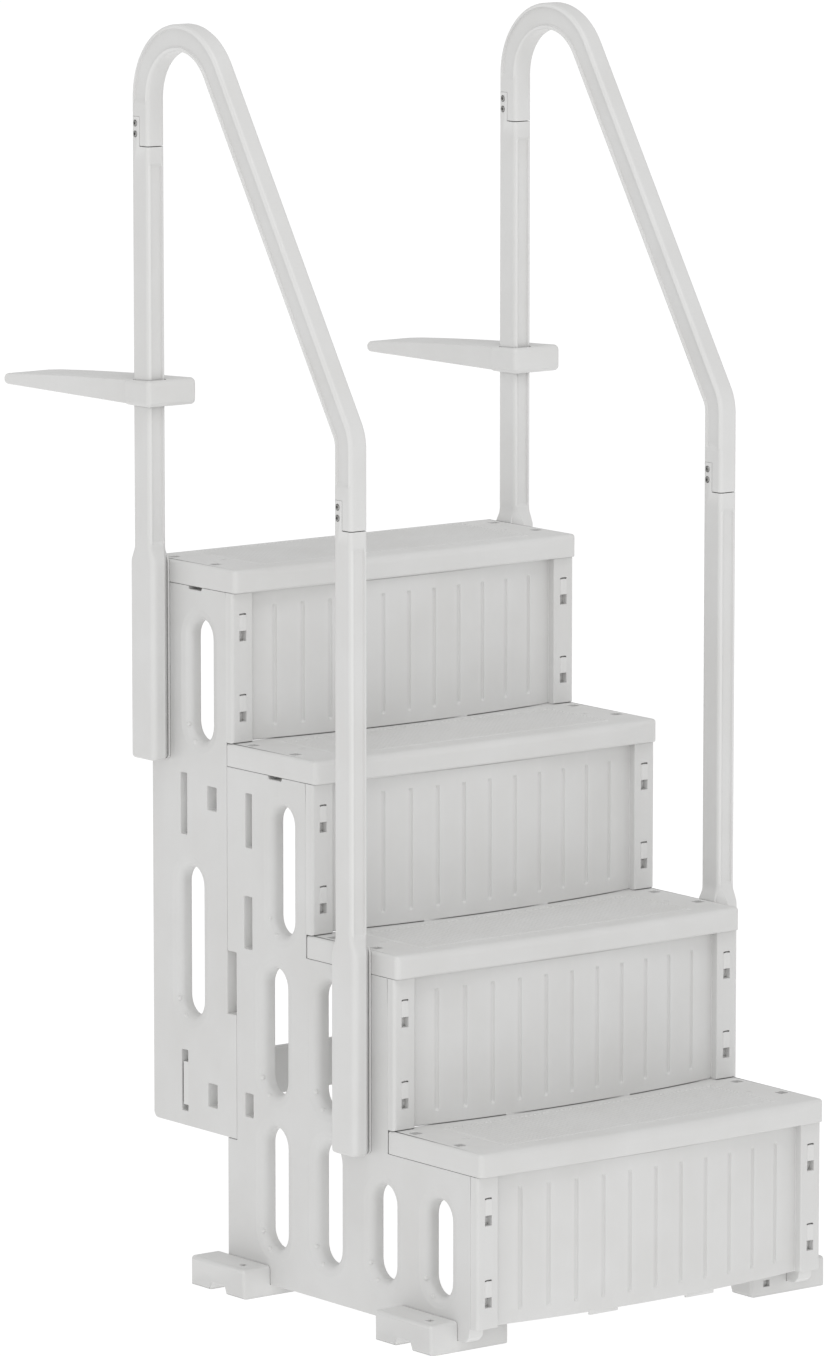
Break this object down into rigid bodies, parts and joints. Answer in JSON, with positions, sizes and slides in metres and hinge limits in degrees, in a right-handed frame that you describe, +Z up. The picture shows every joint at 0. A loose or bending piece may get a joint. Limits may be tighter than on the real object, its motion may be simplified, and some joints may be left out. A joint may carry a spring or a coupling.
{
  "type": "in-pool step ladder",
  "caption": "In-pool staircase with moulded treads, bowed grooved risers, slotted side panels, bow handrails and sliding deck flanges.",
  "frame": {"origin": "bottom centre of the whole ladder's box, on the pool floor", "axes": "+Z up; +Y from the steps towards the deck; +X to the right of someone who faces the steps. The lowest step faces -Y"},
  "size_m": [0.7674, 1.0984, 1.8381],
  "materials": {
    "tread": "moulded off-white plastic with a fine non-slip grain on the walking field",
    "riser": "moulded off-white plastic, satin, with fluted grooves",
    "panel": "moulded off-white plastic, satin",
    "foot": "moulded off-white plastic, satin",
    "post": "moulded off-white plastic, smooth satin",
    "rail": "moulded off-white plastic, smooth satin",
    "flange": "moulded off-white plastic, smooth satin",
    "brace": "moulded off-white plastic, satin",
    "fastener": "stainless steel, lightly brushed"
  },
  "bodies": {
    "stair": {"tread_1": "tread", "riser_1": "riser", "tread_2": "tread", "riser_2": "riser", "tread_3": "tread", "riser_3": "riser", "tread_4": "tread", "riser_4": "riser", "side_panel_front_left": "panel", "foot_front_left": "foot", "front_post_left": "post", "rail_screw_front_left_1": "fastener", "rail_screw_front_left_2": "fastener", "boot_bolt_front_left_1": "fastener", "boot_bolt_front_left_2": "fastener", "side_panel_rear_left": "panel", "foot_rear_left": "foot", "rear_post_left": "post", "rail_screw_rear_left_1": "fastener", "rail_screw_rear_left_2": "fastener", "boot_bolt_rear_left_1": "fastener", "boot_bolt_rear_left_2": "fastener", "handrail_bow_left": "rail", "side_panel_front_right": "panel", "foot_front_right": "foot", "front_post_right": "post", "rail_screw_front_right_1": "fastener", "rail_screw_front_right_2": "fastener", "boot_bolt_front_right_1": "fastener", "boot_bolt_front_right_2": "fastener", "side_panel_rear_right": "panel", "foot_rear_right": "foot", "rear_post_right": "post", "rail_screw_rear_right_1": "fastener", "rail_screw_rear_right_2": "fastener", "boot_bolt_rear_right_1": "fastener", "boot_bolt_rear_right_2": "fastener", "handrail_bow_right": "rail", "rear_brace": "brace"},
    "flange_left": {"deck_flange_left": "flange", "flange_bolt_left": "fastener"},
    "flange_right": {"deck_flange_right": "flange", "flange_bolt_right": "fastener"}
  },
  "joints": [
    {"name": "flange_left_height", "type": "slide", "parent": "stair", "child": "flange_left", "axis": [0, 0, 1], "range_m": [-0.059, 0.093]},
    {"name": "flange_right_height", "type": "slide", "parent": "stair", "child": "flange_right", "axis": [0, 0, 1], "range_m": [-0.059, 0.093]}
  ]
}
